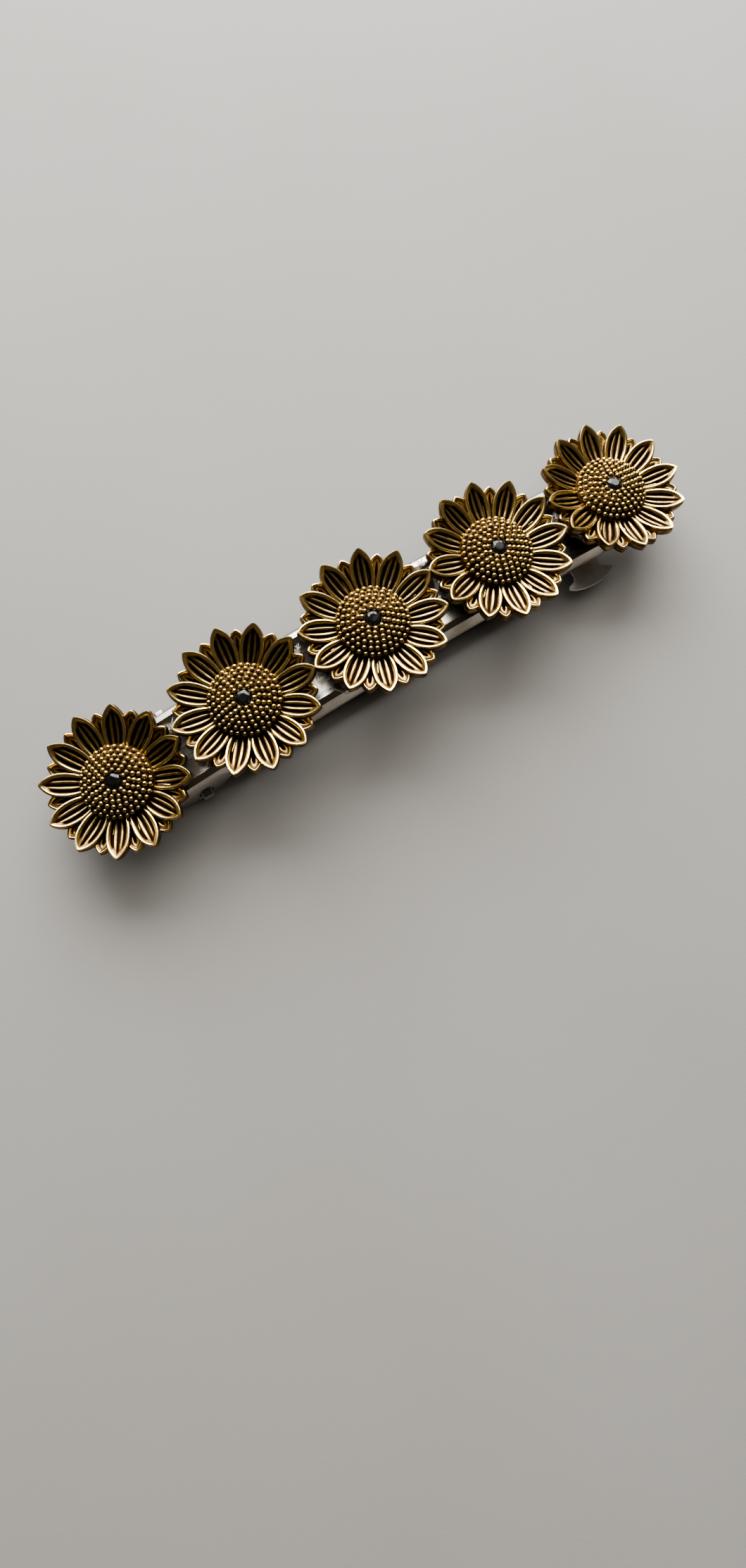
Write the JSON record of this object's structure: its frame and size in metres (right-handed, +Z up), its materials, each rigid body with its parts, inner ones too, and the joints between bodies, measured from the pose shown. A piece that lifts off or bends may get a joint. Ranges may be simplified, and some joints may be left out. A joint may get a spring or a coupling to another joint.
{
  "type": "hair barrette",
  "caption": "Spring-clip hair barrette: arched metal bar with a hinged arm and squeeze catch, topped by a row of cast sunflowers with dark faceted centre stones.",
  "frame": {"origin": "middle of the clip's length and width, on the surface that the closed arm's flat underside rests on", "axes": "+X along the clip from the hinge to the catch, +Z up through the flowers, +Y across the clip"},
  "size_m": [0.101, 0.0207, 0.0148],
  "materials": {
    "antique_gold": "cast, plated antique gold, polished on the raised rims, brown patina in the hollows",
    "seed_gold": "beaded antique gold, near-black patina between the beads",
    "black_stone": "faceted, polished black",
    "clear_glue": "clear hot-melt adhesive, uneven and slightly cloudy",
    "plate_steel": "nickel-plated, polished, fine handling scratches",
    "pin_steel": "plain drawn wire, dull",
    "arm_steel": "nickel-plated, polished",
    "spring_steel": "rolled strip, fine lengthwise grain",
    "bracket_steel": "plated, satin",
    "tab_steel": "plated, satin",
    "rivet_steel": "plain, dull"
  },
  "bodies": {
    "clip_body": {"base_plate": "plate_steel", "tension_spring": "spring_steel", "catch_bracket": "bracket_steel", "spring_rivet": "rivet_steel", "catch_rivet_inner": "rivet_steel", "catch_rivet_outer": "rivet_steel", "flower_1_petals": "antique_gold", "flower_1_seed_head": "seed_gold", "flower_1_stone": "black_stone", "flower_1_glue": "clear_glue", "flower_2_petals": "antique_gold", "flower_2_seed_head": "seed_gold", "flower_2_stone": "black_stone", "flower_2_glue": "clear_glue", "flower_3_petals": "antique_gold", "flower_3_seed_head": "seed_gold", "flower_3_stone": "black_stone", "flower_3_glue": "clear_glue", "flower_4_petals": "antique_gold", "flower_4_seed_head": "seed_gold", "flower_4_stone": "black_stone", "flower_4_glue": "clear_glue", "flower_5_petals": "antique_gold", "flower_5_seed_head": "seed_gold", "flower_5_stone": "black_stone", "flower_5_glue": "clear_glue"},
    "arm": {"clasp_arm": "arm_steel", "hinge_pin": "pin_steel"},
    "tab_front": {"catch_tab_front": "tab_steel"},
    "tab_rear": {"catch_tab_rear": "tab_steel"}
  },
  "joints": [
    {"name": "arm_hinge", "type": "hinge", "parent": "clip_body", "child": "arm", "pos_m": [-0.03072, 0, 0.00432], "axis": [0, 1, 0], "range_deg": [0, 75]},
    {"name": "tab_front_squeeze", "type": "hinge", "parent": "clip_body", "child": "tab_front", "pos_m": [0.03254, -0.0044, 0.00659], "axis": [0.99, 0, -0.1412], "range_deg": [0, 7], "stiffness_Nm_per_rad": 0.006},
    {"name": "tab_rear_squeeze", "type": "hinge", "parent": "clip_body", "child": "tab_rear", "pos_m": [0.03254, 0.0044, 0.00659], "axis": [-0.99, 0, 0.1412], "range_deg": [0, 7], "stiffness_Nm_per_rad": 0.006}
  ],
  "couplings": [
    {"joint": "tab_rear_squeeze", "follows": "tab_front_squeeze", "ratio": 1}
  ]
}
